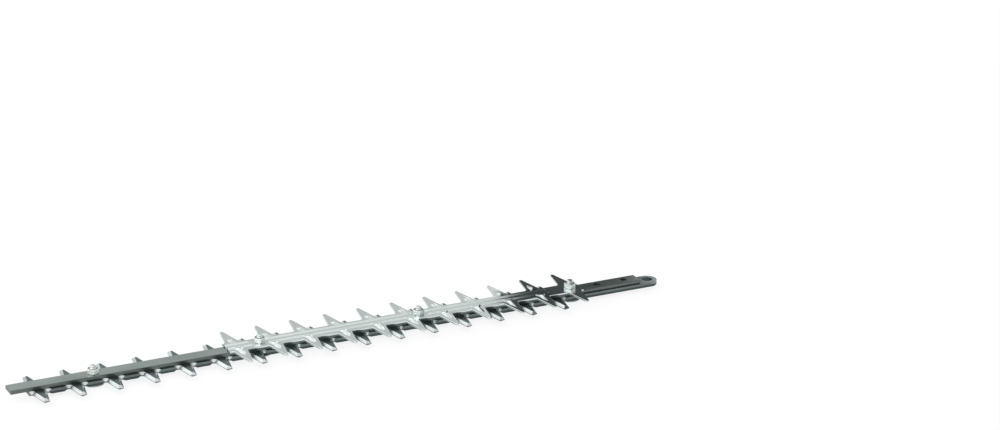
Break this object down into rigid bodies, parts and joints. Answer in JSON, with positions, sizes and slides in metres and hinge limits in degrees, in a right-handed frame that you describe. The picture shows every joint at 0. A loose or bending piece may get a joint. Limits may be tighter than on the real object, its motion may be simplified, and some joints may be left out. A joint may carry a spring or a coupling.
{
  "type": "hedge trimmer blade",
  "caption": "Straight double-sided hedge trimmer blade: guide bar, two toothed cutter blades sliding under it, and a ribbed tooth guard clamped on top with nuts.",
  "frame": {"origin": "centre of the two gear case holes, on the top face of the guide bar", "axes": "+X along the blade towards the gear case, +Y across it, +Z out of the top face of the guide bar"},
  "size_m": [0.6665, 0.077, 0.0217],
  "materials": {
    "bar_steel": "ground and lightly polished",
    "blade_steel": "dark hardened steel with bright ground edges",
    "guard_steel": "bright nickel-plated pressed sheet",
    "zinc_plated_steel": "bright zinc plate",
    "washer_steel": "plain turned steel"
  },
  "bodies": {
    "bar": {"guide_bar": "bar_steel", "tooth_guard": "guard_steel", "guide_bolt_1": "zinc_plated_steel", "guide_bolt_2": "zinc_plated_steel", "guide_bolt_3": "zinc_plated_steel", "guide_bolt_4": "zinc_plated_steel", "guide_collar_1": "washer_steel", "guide_collar_2": "washer_steel", "guide_collar_3": "washer_steel", "guide_collar_4": "washer_steel", "washer_1": "washer_steel", "washer_2": "washer_steel", "washer_3": "washer_steel", "washer_4": "washer_steel", "nut_1": "zinc_plated_steel", "nut_2": "zinc_plated_steel", "nut_3": "zinc_plated_steel", "nut_4": "zinc_plated_steel"},
    "upper_blade": {"upper_blade": "blade_steel"},
    "lower_blade": {"lower_blade": "blade_steel"}
  },
  "joints": [
    {"name": "upper_slide", "type": "slide", "parent": "bar", "child": "upper_blade", "axis": [1, 0, 0], "range_m": [-0.00875, 0.00875]},
    {"name": "lower_slide", "type": "slide", "parent": "bar", "child": "lower_blade", "axis": [1, 0, 0], "range_m": [-0.00875, 0.00875]}
  ],
  "couplings": [
    {"joint": "lower_slide", "follows": "upper_slide", "ratio": -1}
  ]
}
